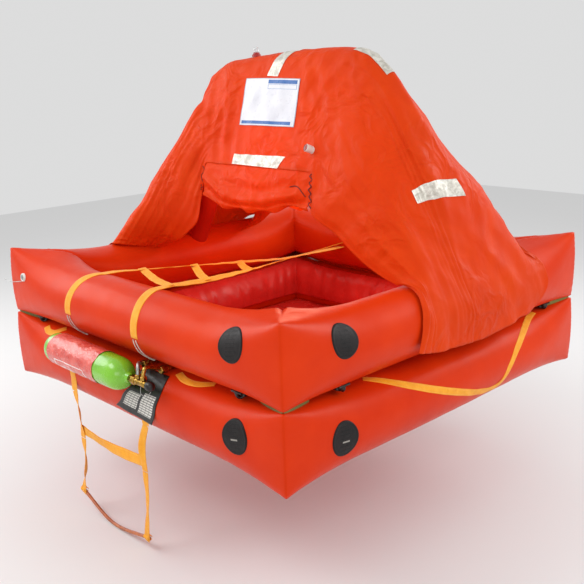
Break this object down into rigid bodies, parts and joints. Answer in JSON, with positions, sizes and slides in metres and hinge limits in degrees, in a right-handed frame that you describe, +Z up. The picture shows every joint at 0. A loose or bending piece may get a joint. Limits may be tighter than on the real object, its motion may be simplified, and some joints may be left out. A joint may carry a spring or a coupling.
{
  "type": "life raft",
  "caption": "Inflated square life raft afloat: two stacked buoyancy tubes, a tent canopy over an arch, gas cylinder, boarding ladders and lifelines.",
  "frame": {"origin": "middle of the raft on its waterline, 0.058 m above the lowest tips of the lower tube", "axes": "+Z up; -Y towards the entrance side with the gas cylinder and the hanging ladder; +X towards the side with the canopy's long skirt"},
  "size_m": [1.8105, 1.8795, 1.8651],
  "materials": {
    "tube_fabric": "satin coated fabric",
    "red_fabric": "glossy coated fabric",
    "canopy_cloth": "light woven cloth",
    "white_sign": "satin sheet",
    "red_plastic": "moulded",
    "clear_plastic": "clear moulded",
    "white_plastic": "moulded",
    "green_paint": "gloss paint",
    "sleeve_film": "soft film",
    "valve_brass": "machined",
    "black_plastic": "moulded",
    "black_fabric": "coated fabric",
    "orange_plastic": "tubing",
    "orange_webbing": "woven webbing",
    "white_cord": "braided cord",
    "yellow_webbing": "woven webbing"
  },
  "bodies": {
    "raft": {"lower_tube": "tube_fabric", "upper_tube": "tube_fabric", "raft_floor": "red_fabric", "inner_liner": "red_fabric", "canopy_arch": "red_fabric", "canopy_roof": "canopy_cloth", "canopy_left_side": "canopy_cloth", "canopy_right_side": "canopy_cloth", "canopy_sign": "white_sign", "light_base": "red_plastic", "light_dome": "clear_plastic", "rain_collector": "white_plastic", "gas_cylinder": "green_paint", "cylinder_sleeve": "sleeve_film", "valve_body": "valve_brass", "valve_knob": "black_plastic", "upper_gas_pipe": "valve_brass", "lower_gas_pipe": "valve_brass", "cylinder_label": "black_fabric", "relief_patch_front_upper": "black_plastic", "relief_patch_front_lower": "black_plastic", "relief_patch_side_upper": "black_plastic", "relief_patch_side_lower": "black_plastic", "corner_valve": "white_plastic", "inner_ladder": "yellow_webbing", "left_tie_cords": "white_cord", "right_tie_cords": "white_cord", "lifeline_fitting_front_1": "black_fabric", "lifeline_fitting_front_2": "black_fabric", "lifeline_fitting_right_1": "black_fabric", "lifeline_fitting_right_2": "black_fabric", "lifeline_fitting_rear_1": "black_fabric", "lifeline_fitting_rear_2": "black_fabric", "lifeline_fitting_left_1": "black_fabric", "lifeline_fitting_left_2": "black_fabric", "lifeline_right": "yellow_webbing", "lifeline_front_right": "yellow_webbing", "lifeline_front_left": "yellow_webbing", "lifeline_rear": "yellow_webbing", "lifeline_left": "yellow_webbing", "ladder_tab_left": "yellow_webbing", "ladder_tab_right": "yellow_webbing", "righting_strap": "orange_webbing", "ballast_pocket_1": "black_fabric", "ballast_pocket_2": "black_fabric", "ballast_pocket_3": "black_fabric", "ballast_pocket_4": "black_fabric"},
    "entrance_flap": {"entrance_flap": "canopy_cloth"},
    "rear_flap": {"rear_flap": "canopy_cloth"},
    "ladder_upper": {"ladder_upper_webbing": "yellow_webbing"},
    "ladder_step": {"ladder_lower_strap_left": "yellow_webbing", "ladder_lower_strap_right": "yellow_webbing", "ladder_step": "orange_plastic"}
  },
  "joints": [
    {"name": "entrance_flap_hinge", "type": "hinge", "parent": "raft", "child": "entrance_flap", "pos_m": [0, -0.15, 0.842], "axis": [-1, 0, 0], "range_deg": [0, 100]},
    {"name": "rear_flap_hinge", "type": "hinge", "parent": "raft", "child": "rear_flap", "pos_m": [0, 0.23, 0.842], "axis": [1, 0, 0], "range_deg": [0, 100]},
    {"name": "boarding_ladder_swing", "type": "hinge", "parent": "raft", "child": "ladder_upper", "pos_m": [0, -0.8893, -0.01], "axis": [-1, 0, 0], "range_deg": [-25, 80]},
    {"name": "boarding_step_swing", "type": "hinge", "parent": "ladder_upper", "child": "ladder_step", "pos_m": [0, -0.8893, -0.208], "axis": [-1, 0, 0], "range_deg": [-60, 80]}
  ]
}
